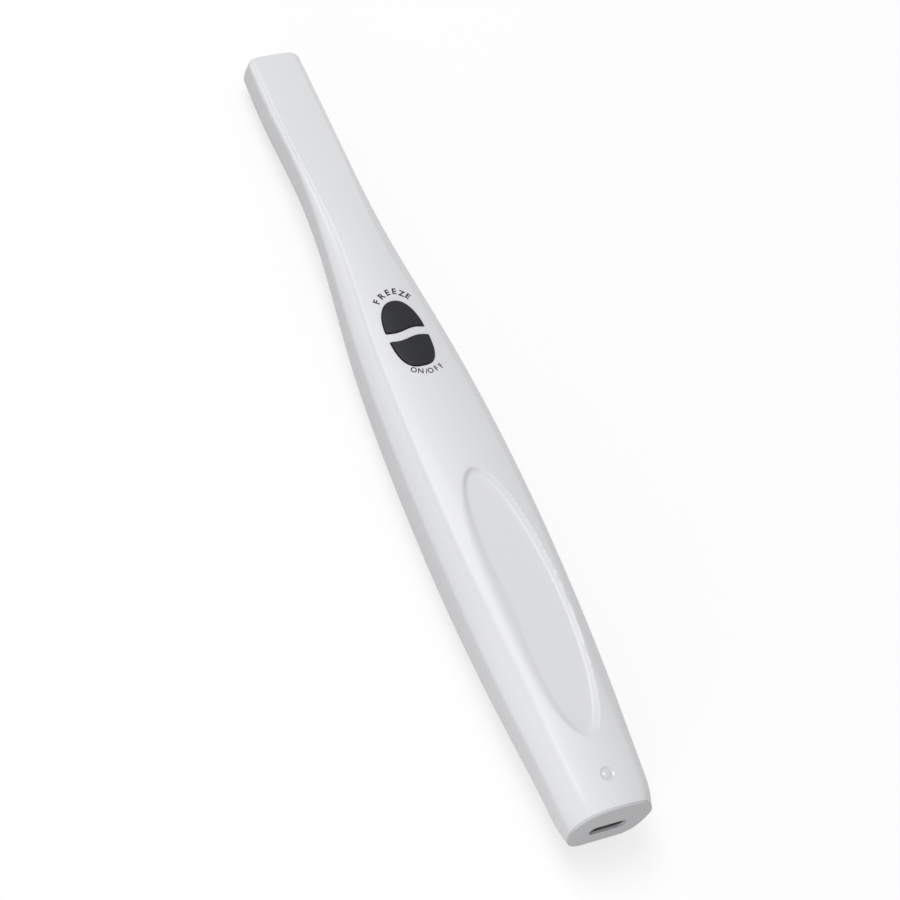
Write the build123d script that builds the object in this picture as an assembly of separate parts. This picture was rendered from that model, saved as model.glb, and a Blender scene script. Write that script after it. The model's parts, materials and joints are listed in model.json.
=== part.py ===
from build123d import *
import math
import os
from dataclasses import dataclass

# Intraoral camera: a hand-held dental camera with a broad handle, a slender neck and a viewing head.
# Millimetres. +X runs from the tail to the tip, +Y to the left of someone who looks along it with
# the keys up, +Z up. The origin is under the middle of the part, on the surface that it lies on.


@dataclass(frozen=True)
class Chip:
    """A flat electronic package on the board: its place, length, width and height."""

    x: float
    y: float
    long: float
    wide: float
    high: float


@dataclass(frozen=True)
class Station:
    """One cross-section of the body, at a distance x from the tail."""

    x: float
    half_width: float
    crease: float
    top: float
    belly: float
    crown: float
    waist: float
    belly_flat: float
    squareness: float
    softness: float


# Driving dimensions of the body. Heights are above the surface that the camera lies on.
# crease is the half width at the soft edge between crown and shoulder, waist is the share of the
# height at which the section is widest, belly_flat the share of the width that is flat below.
# Each run is the distance of a section from the one behind it.
belly_grind = 0.25
rump_run = 3.5
hip_run = 5.5
heel_run = 23.0
palm_run = 32.0
waist_run = 34.0
keys_run = 29.0
throat_run = 25.0
neck_run = 18.0
head_run = 21.0
tip_run = 14.4
TAIL = Station(0.0, 10.0, 6.8, 19.5, 3.7, 1.3, 0.56, 0.45, 0.62, 2.0)
RUMP = Station(TAIL.x + rump_run, 10.95, 7.7, 19.7, 3.2, 1.2, 0.62, 0.45, 0.62, 1.8)
HIP = Station(RUMP.x + hip_run, 11.5, 8.3, 19.8, 2.9, 1.2, 0.66, 0.45, 0.62, 1.6)
HEEL = Station(HIP.x + heel_run, 13.0, 9.0, 20.1, 1.5, 1.5, 0.69, 0.45, 0.62, 1.6)
PALM = Station(HEEL.x + palm_run, 14.0, 10.6, 20.5, -belly_grind, 1.8, 0.70, 0.45, 0.62, 1.3)
WAIST = Station(PALM.x + waist_run, 13.4, 10.0, 19.1, -belly_grind, 1.6, 0.72, 0.45, 0.62, 1.1)
KEYS = Station(WAIST.x + keys_run, 11.1, 8.0, 16.9, 0.9, 1.2, 0.74, 0.45, 0.64, 1.0)
THROAT = Station(KEYS.x + throat_run, 8.0, 5.2, 14.9, 4.2, 0.5, 0.76, 0.50, 0.72, 0.9)
NECK = Station(THROAT.x + neck_run, 6.8, 5.4, 13.8, 4.8, 0.25, 0.83, 0.60, 0.82, 0.8)
HEAD = Station(NECK.x + head_run, 6.9, 5.6, 12.2, 3.4, 0.2, 0.84, 0.65, 0.84, 0.8)
TIP = Station(HEAD.x + tip_run, 6.6, 5.5, 11.6, 3.3, 0.2, 0.84, 0.65, 0.84, 0.8)
STATIONS = [TAIL, RUMP, HIP, HEEL, PALM, WAIST, KEYS, THROAT, NECK, HEAD, TIP]
length = TIP.x
tail_rake = 3.5
tip_corner_radius = 2.0
tip_edge_radius = 0.8
NOSE_STEPS = 6
shoulder_bulge = 0.3
CREASE_SHARE = 0.6
CREASE_LIMIT = 0.45
TAIL_OVERRUN = 6.0

# Walls and fits
wall = 1.5
fit_gap = 0.1
seam_share = 0.46
lip_height = 1.0
lip_wall = 0.7

# End cap and socket
cap_flange = 0.6
cap_edge_radius = 0.25
cap_skirt_depth = 3.4
cap_skirt_wall = 1.1
slot_width = 9.4
slot_height = 3.4
slot_z = 10.0
socket_width = 8.94
socket_height = 3.0
socket_metal = 0.35
socket_depth = 6.4
socket_set_back = 0.5
tongue_width = 6.6
tongue_thick = 0.7
tongue_length = 4.6

# Keys: an oval pair split by a gap with a slight S. The freeze end is more pointed than the other.
keys_x = KEYS.x - 3.75
keys_length = 18.0
keys_width = 9.8
freeze_bluntness = 2.2
power_bluntness = 2.8
OVAL_STEPS = 12
key_gap = 2.5
key_gap_wave = 0.35
key_gap_shift = -0.1
key_corner = 0.45
key_proud = 0.5
key_edge_radius = 0.25
key_clearance = 0.2
key_flange = 0.5
key_flange_thick = 0.8
key_flange_gap = 0.15
key_travel = 0.6
post_radius = 1.3
freeze_switch_x = keys_x + 4.75
power_switch_x = keys_x - 5.45

# Thumb recess
recess_x = 52.4
recess_length = 67.9
recess_width = 17.8
recess_depth = 1.85
recess_wall_radius = 1.1
RECESS_ROUND_SHARE = 0.9

# Indicator
indicator_x = 9.1
indicator_head_radius = 1.65
indicator_pipe_radius = 0.8
indicator_head_thick = 0.7
indicator_groove = 0.3
indicator_fit = 0.05
indicator_lamp_height = 0.8

# Board and what it carries
board_tail_x = 4.6
board_tip_x = keys_x + 13.75
board_thick = 1.0
board_clearance = 0.4
switch_size = 4.5
switch_height = 1.8
stem_radius = 1.0
stem_proud = 0.9
stem_sunk = 0.9
stem_gap = 0.06
screw_radius = 0.8
screw_head_radius = 1.5
screw_head_height = 0.7
screw_length = 5.0
boss_radius = 2.1
boss_tail_x = 17.0
boss_tail_y = 6.6
boss_front_x = 104.5
boss_front_y = 7.0
boss_bore_extra = 0.5
rib_thick = 1.2

# Packages on the board
PROCESSOR = Chip(92.0, 0.0, 8.0, 8.0, 1.0)
MEMORY = Chip(79.0, 2.5, 6.0, 5.0, 0.9)
RADIO = Chip(42.0, 0.0, 13.0, 11.0, 1.8)
POWER = Chip(25.0, -3.0, 4.0, 4.0, 0.9)
ANTENNA = Chip(30.0, 6.0, 6.0, 2.0, 1.2)

# Cell
cell_x = 48.0
cell_length = 50.0
cell_width = 15.0
cell_thick = 4.7
cell_corner = 1.4
cell_seat_z = 1.9
cell_stop_z = 3.6
lead_radius = 0.45
lead_pitch = 2.4
lead_run = 2.0
lead_bend = 0.9
battery_plug_length = 4.0
battery_plug_gap = 8.0
battery_plug_height = 1.8

# Camera head
lens_set_back = 9.4
window_radius = 4.1
window_thick = 0.7
bezel_radius = 5.0
bezel_opening = 3.7
bezel_thick = 0.6
window_set_back = 0.05
light_ring_thick = 0.5
light_ring_rise = 2.2
light_ring_radius = 4.6
light_count = 6
light_size = 1.3
light_height = 0.35
barrel_radius = 1.9
barrel_length = 3.0
front_lens_radius = 1.5
front_lens_thick = 0.9
rear_lens_radius = 1.2
rear_lens_thick = 0.9
holder_size = 5.2
holder_height = 1.6
sensor_size = 3.4
sensor_height = 0.7
sensor_board_length = 10.0
sensor_board_width = 8.6
head_rib_spread = 3.0
sensor_board_thick = 0.6
sensor_board_z = 8.8
flex_width = 4.0
flex_thick = 0.2
flex_connector_set_back = 2.5
flex_connector_side = 1.0
flex_connector_length = 3.0
flex_connector_height = 1.0

# Values that follow from the ones above
board_top_z = slot_z - socket_height / 2
board_low_z = board_top_z - board_thick
indicator_low_z = board_top_z + indicator_lamp_height + fit_gap
lens_x = length - lens_set_back
battery_plug_x = cell_x + cell_length + battery_plug_gap + battery_plug_length / 2
flex_connector_x = board_tip_x - flex_connector_set_back
half_length = length / 2
reach = 3 * length


def at(x):
    """Place along the row's own X of a distance x from the tail."""
    return x - half_length


def section(station, inset=0.0):
    """Closed cross-section face at a station, set in by a wall's thickness."""
    half = station.half_width - inset
    crease = station.crease - inset * 0.75
    top = station.top - inset
    belly = station.belly + inset
    crease_z = top - station.crown
    waist_z = station.belly + (station.top - station.belly) * station.waist
    waist_z = min(waist_z, crease_z - 0.15)
    flat = station.half_width * station.belly_flat - inset * 0.3
    soft = station.softness
    share = soft / math.hypot(half - crease, crease_z - waist_z) * CREASE_SHARE
    share = min(share, CREASE_LIMIT)

    crown_z = top - station.crown * ((crease - soft) / crease) ** 2
    crown_end = (crease - soft, crown_z)
    shoulder_start = (crease + (half - crease) * share, crease_z - (crease_z - waist_z) * share)
    shoulder_mid = (
        (shoulder_start[0] + half) / 2 + shoulder_bulge * 0.7,
        (shoulder_start[1] + waist_z) / 2 + shoulder_bulge * 0.5,
    )
    hold_z = waist_z - (waist_z - belly) * station.squareness
    hold_y = flat + (half - flat) * station.squareness

    def side(sign):
        def p(point):
            return (sign * point[0], point[1])

        return [
            Bezier(p(crown_end), p((crease, crease_z + 0.1)), p(shoulder_start)),
            ThreePointArc(p(shoulder_start), p(shoulder_mid), p((half, waist_z))),
            Bezier(p((half, waist_z)), p((half, hold_z)), p((hold_y, belly)), p((flat, belly))),
        ]

    crown_arc = ThreePointArc((-crown_end[0], crown_end[1]), (0, top), crown_end)
    floor_line = Line((flat, belly), (-flat, belly))
    face = make_face(Curve() + [crown_arc, *side(1), floor_line, *side(-1)])
    plane = Plane(origin=(at(station.x), 0, 0), x_dir=(0, 1, 0), z_dir=(1, 0, 0))
    return plane * face


def box_between(x0, x1, y0, y1, z0, z1):
    """Box from corner to corner, x counted from the tail."""
    size = (x1 - x0, y1 - y0, z1 - z0)
    centre = ((at(x0) + at(x1)) / 2, (y0 + y1) / 2, (z0 + z1) / 2)
    return Pos(*centre) * Box(*size)


def behind_tail(offset):
    """Block that takes away all that lies behind the raked tail plane, moved in by offset."""
    block = Pos(-reach / 2, 0, 0) * Box(reach, reach, reach)
    return Pos(at(offset), 0, TAIL.belly) * Rot(0, tail_rake, 0) * block


def extended_stations():
    """The stations, with one more behind the tail so that the raked cut has material."""
    slope = TAIL_OVERRUN / (RUMP.x - TAIL.x)

    def carried(name):
        first = getattr(TAIL, name)
        return first - (getattr(RUMP, name) - first) * slope

    names = ["half_width", "crease", "top", "belly"]
    kept = ["crown", "waist", "belly_flat", "squareness", "softness"]
    values = {name: carried(name) for name in names}
    values.update({name: getattr(TAIL, name) for name in kept})
    return [Station(x=TAIL.x - TAIL_OVERRUN, **values)] + STATIONS


def hull(inset=0.0):
    """The body's smooth form, set in by a thickness, before the tail is cut."""
    return loft([section(station, inset) for station in extended_stations()])


def nose():
    """The rounded end of the head: corners round in plan, top and underside edges round in height."""
    start = length - tip_corner_radius
    sections = []
    for step in range(NOSE_STEPS + 1):
        angle = math.radians(90 * step / NOSE_STEPS)
        x = start + tip_corner_radius * math.sin(angle)
        plan_inset = tip_corner_radius * (1 - math.cos(angle))
        past = max(0.0, x - (length - tip_edge_radius)) / tip_edge_radius
        height_inset = tip_edge_radius * (1 - math.sqrt(max(0.0, 1 - past**2)))
        place = Station(
            x=x,
            half_width=TIP.half_width - plan_inset,
            crease=TIP.crease - plan_inset,
            top=TIP.top - height_inset,
            belly=TIP.belly + height_inset,
            crown=TIP.crown,
            waist=TIP.waist,
            belly_flat=TIP.belly_flat,
            squareness=TIP.squareness,
            softness=TIP.softness,
        )
        sections.append(section(place))
    return loft(sections)


def body_form():
    """The whole outside of the camera: smooth hull, rounded nose, belly ground flat."""
    nose_start = length - tip_corner_radius
    form = hull() - box_between(nose_start, reach, -reach, reach, -reach, reach)
    form = form + nose()
    return form - box_between(-reach, reach, -reach, reach, -reach, 0)


def height_at(form, x, y=0.0, from_below=False):
    """Height at which a plumb line through x, y first meets a form, from above or from below."""
    start = (at(x), y, -reach) if from_below else (at(x), y, reach)
    direction = (0, 0, 1) if from_below else (0, 0, -1)
    point, _normal = form.find_intersection_points(Axis(start, direction))[0]
    return point.Z


def below_seam(lift=0.0):
    """Everything under the parting line of the two shells, lifted by a small height."""
    line_points = [
        (at(s.x), s.belly + (s.top - s.belly) * seam_share + lift) for s in STATIONS
    ]
    first, last = line_points[0], line_points[-1]
    parting = Spline(*line_points)
    rear = Line((first[0] - wall * 4, first[1]), first)
    front = Line(last, (last[0] + wall * 4, last[1]))
    low_front = Line(front @ 1, (last[0] + wall * 4, -reach))
    low = Line(low_front @ 1, (first[0] - wall * 4, -reach))
    close = Line(low @ 1, rear @ 0)
    face = Plane.XZ * make_face(Curve() + [rear, parting, front, low_front, low, close])
    return extrude(face, amount=reach, both=True)


def upright(face, z0, z1):
    """A flat face in plan carried straight up from one height to another."""
    return Pos(0, 0, z0) * extrude(face, amount=z1 - z0)


def disc(x, y, radius, z0, z1):
    """Upright round post from one height to another."""
    return Pos(at(x), y, (z0 + z1) / 2) * Cylinder(radius, z1 - z0)


def key_oval(grow):
    """Outline of the key pair in plan, each end with its own bluntness, as a flat face."""
    half_long = keys_length / 2 + grow
    half_wide = keys_width / 2 + grow
    points = []
    for step in range(4 * OVAL_STEPS):
        angle = math.radians(90 * step / OVAL_STEPS)
        bluntness = freeze_bluntness if math.cos(angle) > 0 else power_bluntness
        x = math.copysign(abs(math.cos(angle)) ** (2 / bluntness), math.cos(angle))
        y = math.copysign(abs(math.sin(angle)) ** (2 / bluntness), math.sin(angle))
        points.append((at(keys_x) + half_long * x, half_wide * y))
    return make_face(Spline(*points, periodic=True))


def key_faces(grow=0.0):
    """The two halves of the oval key pair in plan, parted by the S-shaped gap: freeze, power."""
    half = keys_width / 2
    gap = key_gap - 2 * grow

    def edge_line(offset):
        points = []
        for step in range(-4, 5):
            y = half * step / 3
            wave = -key_gap_wave * math.sin(math.pi * y / half)
            points.append((at(keys_x) + key_gap_shift + wave + offset, y))
        return Spline(*points)

    tip_edge = edge_line(gap / 2)
    tail_edge = edge_line(-gap / 2)
    ends = [Line(tip_edge @ 1, tail_edge @ 1), Line(tip_edge @ 0, tail_edge @ 0)]
    band = make_face(Curve() + [tip_edge, tail_edge, *ends])
    pair = key_oval(grow) - band
    gap_corners = pair.vertices().sort_by(lambda corner: abs(corner.X - at(keys_x)))[:4]
    pair = fillet(gap_corners, key_corner + grow)
    power, freeze = pair.faces().sort_by(Axis.X)
    return freeze, power


def recess_tool(grow=0.0):
    """Thumb recess as a solid: a long oval with a flat floor that runs up in a soft wall."""
    floor_z = PALM.top - recess_depth - grow
    half_long = recess_length / 2 + grow
    half_wide = recess_width / 2 + grow
    oval = Pos(at(recess_x), 0) * Ellipse(half_long, half_wide)
    block = upright(oval, floor_z, floor_z + PALM.top)
    end_radius = half_wide**2 / half_long
    radius = min(recess_wall_radius + grow, end_radius * RECESS_ROUND_SHARE)
    return fillet(block.faces().sort_by(Axis.Z)[0].edges(), radius)


def trim_tail(form, offset):
    """The part of a form that lies ahead of the raked tail plane, moved in by offset."""
    return form - behind_tail(offset)


def make_forms():
    """The solids from which the shells, cap, board and keys are cut."""
    ahead = box_between(length - wall, reach, -reach, reach, -reach, reach)
    outside = body_form()
    inside = hull(wall) - ahead
    middle = hull(wall - lip_wall) - ahead
    middle_loose = hull(wall - lip_wall - fit_gap) - ahead
    return outside, inside, middle, middle_loose


outside, inside, lip_form, lip_pocket = make_forms()
hollow = inside - recess_tool(grow=wall)
freeze_face, power_face = key_faces()
freeze_flange, power_flange = key_faces(key_flange)
window_z = height_at(outside, lens_x, from_below=True)
switch_top = board_top_z + switch_height
stem_top = switch_top + stem_proud
ring_low_z = window_z + light_ring_rise


def make_lower_shell():
    """Bottom half with the joining lip, cell seats and the window's stepped opening."""
    shell = trim_tail(outside, cap_flange) - hollow
    shell = shell & below_seam()
    lip = (trim_tail(lip_form, cap_flange) - hollow) & below_seam(lip_height)
    shell = shell + lip
    seat_span = cell_length / 4
    for step in range(1, 4):
        x = cell_x + seat_span * step
        seat = box_between(x - rib_thick / 2, x + rib_thick / 2, -cell_width / 2, cell_width / 2, 0, cell_seat_z)
        shell = shell + (seat & hollow)
    for x in (cell_x - rib_thick - fit_gap, cell_x + cell_length + fit_gap):
        stop = box_between(x, x + rib_thick, -cell_width / 2, cell_width / 2, 0, cell_stop_z)
        shell = shell + (stop & hollow)
    shell = shell - disc(lens_x, 0, bezel_radius + fit_gap, 0, window_z + bezel_thick + window_set_back)
    pane_top = window_z + window_set_back + bezel_thick + window_thick
    shell = shell - disc(lens_x, 0, window_radius + fit_gap, 0, pane_top)
    shell = shell - disc(lens_x, 0, bezel_opening, 0, window_z + 2 * wall)
    return shell


def make_upper_shell():
    """Top half with key openings, thumb recess, indicator hole, screw bosses and head ribs."""
    shell = trim_tail(outside, cap_flange) - hollow - below_seam()
    shell = shell - (lip_pocket & below_seam(lip_height + fit_gap))
    shell = shell - recess_tool()
    for face in key_faces(key_clearance):
        shell = shell - upright(face, board_top_z, length)
    shell = shell - disc(indicator_x, 0, indicator_head_radius + indicator_fit, TAIL.top - wall, length)
    shell = shell - disc(indicator_x, 0, indicator_pipe_radius + indicator_fit, board_top_z, length)
    for x, y in boss_spots():
        boss = disc(x, y, boss_radius, board_top_z, PALM.top) & hollow
        shell = shell + boss - disc(x, y, screw_radius, board_low_z, board_low_z + screw_length + boss_bore_extra)
    for x in (lens_x - head_rib_spread, lens_x + head_rib_spread):
        rib = box_between(x - rib_thick / 2, x + rib_thick / 2, -sensor_board_width / 2,
                          sensor_board_width / 2, sensor_board_z + sensor_board_thick, PALM.top)
        shell = shell + (rib & hollow)
    return shell


def boss_spots():
    """Centres of the four board screws."""
    pairs = [(boss_tail_x, boss_tail_y), (boss_front_x, boss_front_y)]
    return [(x, side * y) for x, y in pairs for side in (-1, 1)]


def make_end_cap():
    """Tail cap: a flush face with a rounded rim, a skirt inside the shells and the socket slot."""
    face = trim_tail(outside, 0) & behind_tail(cap_flange)
    rim = face.faces().sort_by(Axis.X)[0].edges()
    face = fillet(rim, cap_edge_radius)
    skirt_outside = hull(wall + fit_gap)
    skirt_inside = hull(wall + fit_gap + cap_skirt_wall)
    skirt = trim_tail(skirt_outside - skirt_inside, cap_flange) & behind_tail(cap_flange + cap_skirt_depth)
    slot = SlotOverall(slot_width, slot_height)
    tunnel = extrude(Plane.YZ * slot, amount=length, both=True)
    return face + skirt - Pos(0, 0, slot_z) * tunnel


def make_key(face, flange_face, switch_x):
    """One key: a cap that follows the crown, a flange that holds it in and a post to its switch."""
    under = Pos(0, 0, -(key_flange_gap + key_flange_thick)) * inside
    column = upright(face, board_top_z, length)
    cap = (Pos(0, 0, key_proud) * outside & column) - under
    cap = cap.solids().sort_by(Axis.Z)[-1]
    cap = fillet(cap.faces().sort_by(Axis.Z)[-1].edges(), key_edge_radius)
    skirt = upright(flange_face, board_top_z, length)
    flange = (Pos(0, 0, -key_flange_gap) * inside & skirt) - under
    post = disc(switch_x, 0, post_radius, stem_top, KEYS.top - wall)
    return cap + flange + post


def make_switch(switch_x):
    """Switch body with a round well for its stem."""
    half = switch_size / 2
    body = box_between(switch_x - half, switch_x + half, -half, half, board_top_z, switch_top)
    body = fillet(body.edges().filter_by(Axis.Z), switch_size / 12)
    well_floor = switch_top - stem_sunk - key_travel - stem_gap
    return body - disc(switch_x, 0, stem_radius + stem_gap, well_floor, switch_top)


def make_stem(switch_x):
    """The switch's own stem, which goes down with its key."""
    return disc(switch_x, 0, stem_radius, switch_top - stem_sunk, stem_top)


def make_main_board():
    """Board that follows the inside of the shells and carries every electronic piece."""
    slab = box_between(board_tail_x, board_tip_x, -reach, reach, board_low_z, board_top_z)
    board = slab & hull(wall + board_clearance)
    for x, y in boss_spots():
        board = board - disc(x, y, screw_radius + stem_gap, board_low_z, board_top_z)
    return board


def make_board_screws():
    """Four screws that clamp the board to the bosses from below."""
    screws = []
    for x, y in boss_spots():
        head = disc(x, y, screw_head_radius, board_low_z - screw_head_height, board_low_z)
        head = fillet(head.faces().sort_by(Axis.Z)[0].edges(), screw_head_height / 2)
        screws.append(head + disc(x, y, screw_radius, board_low_z, board_low_z + screw_length))
    return Compound(children=screws)


def make_chip(chip):
    """A flat electronic package with slightly drawn-in upper edges."""
    half_x, half_y = chip.long / 2, chip.wide / 2
    body = box_between(chip.x - half_x, chip.x + half_x, chip.y - half_y, chip.y + half_y,
                       board_top_z, board_top_z + chip.high)
    return chamfer(body.faces().sort_by(Axis.Z)[-1].edges(), chip.high / 6)


def make_cell():
    """Flat rechargeable cell with rounded sides, seated on the lower shell's ribs."""
    end = RectangleRounded(cell_width, cell_thick, cell_corner)
    body = extrude(Plane.YZ * end, amount=cell_length)
    return Pos(at(cell_x), 0, cell_seat_z + cell_thick / 2) * body


def make_leads():
    """Two short leads from the cell's front end up to their plug under the board."""
    start_x = cell_x + cell_length
    start_z = cell_seat_z + cell_thick / 2
    end_z = board_low_z - battery_plug_height / 2
    leads = []
    for side in (-1, 1):
        y = side * lead_pitch / 2
        route = FilletPolyline(
            (at(start_x), y, start_z),
            (at(start_x + lead_run), y, start_z),
            (at(start_x + lead_run + end_z - start_z), y, end_z),
            (at(battery_plug_x - battery_plug_length / 2), y, end_z),
            radius=lead_bend,
        )
        section_plane = Plane(origin=route @ 0, z_dir=route % 0)
        leads.append(sweep(section_plane * Circle(lead_radius), path=route))
    return Compound(children=leads)


def make_battery_connector():
    """Plug of the cell's leads, under the board."""
    half_x = battery_plug_length / 2
    half_y = lead_pitch + lead_radius
    return box_between(battery_plug_x - half_x, battery_plug_x + half_x, -half_y, half_y,
                       board_low_z - battery_plug_height, board_low_z)


def make_head_flex():
    """Thin ribbon from the sensor board through the neck to its connector on the board."""
    start_z = sensor_board_z + sensor_board_thick
    end_z = board_top_z + flex_connector_height / 2

    def curve(lift):
        neck_z = (NECK.top + NECK.belly) / 2 + lift
        throat_z = (THROAT.top + THROAT.belly) / 2 + lift
        return Spline(
            (at(lens_x - head_rib_spread - rib_thick), start_z + lift),
            (at(lens_x - sensor_board_length - flex_width / 2), start_z + lift),
            (at(NECK.x), neck_z),
            (at(THROAT.x), throat_z),
            (at(flex_connector_x + flex_connector_length / 2), end_z + lift),
        )

    low, high = curve(0), curve(flex_thick)
    outline = Curve() + [low, high, Line(low @ 0, high @ 0), Line(low @ 1, high @ 1)]
    return extrude(Plane.XZ * make_face(outline), amount=flex_width / 2, both=True)


def make_sensor_board():
    """Small board that carries the image sensor, under the head's top wall."""
    half_x, half_y = sensor_board_length / 2, sensor_board_width / 2
    board = box_between(lens_x - half_x, lens_x + half_x, -half_y, half_y,
                        sensor_board_z, sensor_board_z + sensor_board_thick)
    return fillet(board.edges().filter_by(Axis.Z), sensor_board_thick)


def make_image_sensor():
    """Image sensor package on the underside of its board."""
    half = sensor_size / 2
    return box_between(lens_x - half, lens_x + half, -half, half, sensor_board_z - sensor_height, sensor_board_z)


def make_lens_holder():
    """Square mount round the sensor, with the round bore that holds the barrel."""
    half = holder_size / 2
    pocket = sensor_size / 2 + fit_gap
    low = sensor_board_z - holder_height
    body = box_between(lens_x - half, lens_x + half, -half, half, low, sensor_board_z)
    body = body - box_between(lens_x - pocket, lens_x + pocket, -pocket, pocket,
                              sensor_board_z - sensor_height - fit_gap, sensor_board_z)
    return body - disc(lens_x, 0, barrel_radius, low, sensor_board_z - sensor_height - fit_gap)


def barrel_top():
    """Height of the barrel's upper end, just short of the sensor."""
    return sensor_board_z - sensor_height - fit_gap


def make_lens_barrel():
    """Turned barrel with a stepped bore: the wider end looks down at the window."""
    low = barrel_top() - barrel_length
    body = disc(lens_x, 0, barrel_radius, low, barrel_top())
    body = chamfer(body.faces().sort_by(Axis.Z)[0].edges(), barrel_radius / 8)
    body = body - disc(lens_x, 0, front_lens_radius, low, low + front_lens_thick)
    return body - disc(lens_x, 0, rear_lens_radius, low, barrel_top())


def make_lens(radius, thick, low, dome):
    """A lens with one domed face, which looks down."""
    ball_radius = (radius**2 + dome**2) / (2 * dome)
    ball = Pos(at(lens_x), 0, low + ball_radius) * Sphere(ball_radius)
    return disc(lens_x, 0, radius, low, low + thick) & ball


def make_light_board():
    """Round board with a hole for the barrel, which carries the lamps."""
    ring = disc(lens_x, 0, light_ring_radius, ring_low_z, ring_low_z + light_ring_thick)
    return ring - disc(lens_x, 0, barrel_radius + fit_gap, 0, length)


def make_light_leds():
    """Lamps spaced evenly round the lens, under their board."""
    lamp = Pos(0, 0, ring_low_z - light_height / 2) * Box(light_size, light_size, light_height)
    orbit = (barrel_radius + fit_gap + light_ring_radius) / 2
    lamps = []
    for step in range(light_count):
        turn = Rot(0, 0, 360 * (step + 0.5) / light_count)
        lamps.append(Pos(at(lens_x), 0, 0) * turn * Pos(orbit, 0, 0) * lamp)
    return Compound(children=lamps)


def make_window_bezel():
    """Ring let into the underside of the head, round the clear pane."""
    low = window_z + window_set_back
    ring = disc(lens_x, 0, bezel_radius, low, low + bezel_thick)
    ring = ring - disc(lens_x, 0, bezel_opening, low, low + bezel_thick)
    inner = ring.faces().sort_by(Axis.Z)[0].edges().sort_by(SortBy.LENGTH)[0]
    return chamfer(inner, bezel_thick / 2)


def make_window_pane():
    """Clear pane between the bezel and the ledge in the lower shell."""
    low = window_z + window_set_back + bezel_thick
    return disc(lens_x, 0, window_radius, low, low + window_thick)


def make_indicator_lens():
    """Light pipe with a round head flush with the crown and a ring groove in its face."""
    top = height_at(outside, indicator_x)
    column = disc(indicator_x, 0, indicator_head_radius, top - indicator_head_thick, length)
    head = column & outside
    groove_radius = (indicator_head_radius + indicator_pipe_radius) / 2
    groove = disc(indicator_x, 0, groove_radius + indicator_groove / 2, top - indicator_groove, length)
    groove = groove - disc(indicator_x, 0, groove_radius - indicator_groove / 2, 0, length)
    pipe = disc(indicator_x, 0, indicator_pipe_radius, indicator_low_z, top - indicator_head_thick)
    return head - groove + pipe


def make_indicator_led():
    """Small lamp on the board, under the light pipe."""
    half = indicator_pipe_radius
    return box_between(indicator_x - half, indicator_x + half, -half / 2, half / 2,
                       board_top_z, indicator_low_z - fit_gap)


def make_socket_shell():
    """Drawn metal sleeve of the socket, closed at its inner end."""
    outline = RectangleRounded(socket_width, socket_height, socket_height / 2 - fit_gap)
    opening = RectangleRounded(socket_width - 2 * socket_metal, socket_height - 2 * socket_metal,
                               socket_height / 2 - fit_gap - socket_metal)
    sleeve = extrude(Plane.YZ * outline, amount=socket_depth)
    hollow_part = extrude(Plane.YZ * opening, amount=socket_depth - socket_metal)
    return Pos(at(socket_mouth_x()), 0, slot_z) * (sleeve - hollow_part)


def socket_mouth_x():
    """Distance of the socket's mouth from the tail, measured where the raked face meets it."""
    return (slot_z - TAIL.belly) * math.tan(math.radians(tail_rake)) + socket_set_back


def make_socket_tongue():
    """Contact tongue in the middle of the socket, fixed to the sleeve's closed end."""
    back = socket_mouth_x() + socket_depth - socket_metal
    return box_between(back - tongue_length, back, -tongue_width / 2, tongue_width / 2,
                       slot_z - tongue_thick / 2, slot_z + tongue_thick / 2)


def build_nodes():
    """Every piece of the camera by its node name."""
    barrel_low = barrel_top() - barrel_length
    flex_plug_width = flex_width + 2 * flex_connector_side
    flex_plug = Chip(flex_connector_x, 0.0, flex_connector_length, flex_plug_width, flex_connector_height)
    return {
        "upper_shell": make_upper_shell(),
        "lower_shell": make_lower_shell(),
        "end_cap": make_end_cap(),
        "freeze_button": make_key(freeze_face, freeze_flange, freeze_switch_x),
        "power_button": make_key(power_face, power_flange, power_switch_x),
        "freeze_stem": make_stem(freeze_switch_x),
        "power_stem": make_stem(power_switch_x),
        "freeze_switch": make_switch(freeze_switch_x),
        "power_switch": make_switch(power_switch_x),
        "main_board": make_main_board(),
        "board_screws": make_board_screws(),
        "image_processor": make_chip(PROCESSOR),
        "memory_chip": make_chip(MEMORY),
        "radio_module": make_chip(RADIO),
        "power_chip": make_chip(POWER),
        "antenna": make_chip(ANTENNA),
        "flex_connector": make_chip(flex_plug),
        "battery_connector": make_battery_connector(),
        "indicator_led": make_indicator_led(),
        "battery_cell": make_cell(),
        "battery_leads": make_leads(),
        "head_flex": make_head_flex(),
        "sensor_board": make_sensor_board(),
        "image_sensor": make_image_sensor(),
        "lens_holder": make_lens_holder(),
        "lens_barrel": make_lens_barrel(),
        "front_lens": make_lens(front_lens_radius, front_lens_thick, barrel_low, front_lens_thick / 3),
        "rear_lens": make_lens(rear_lens_radius, rear_lens_thick, barrel_top() - rear_lens_thick, rear_lens_thick / 3),
        "light_board": make_light_board(),
        "light_leds": make_light_leds(),
        "window_bezel": make_window_bezel(),
        "window_pane": make_window_pane(),
        "indicator_lens": make_indicator_lens(),
        "socket_shell": make_socket_shell(),
        "socket_tongue": make_socket_tongue(),
    }


def write_parts(nodes):
    """Writes one file per node."""
    os.makedirs("parts", exist_ok=True)
    for name, form in nodes.items():
        export_step(form, f"parts/{name}.step")


write_parts(build_nodes())
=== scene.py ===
import json
import logging
import math
from dataclasses import dataclass, replace
from enum import Enum
from typing import ClassVar, Dict, List, Sequence, Tuple

import bmesh
import bpy
import numpy as np
from mathutils import Matrix, Vector


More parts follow.
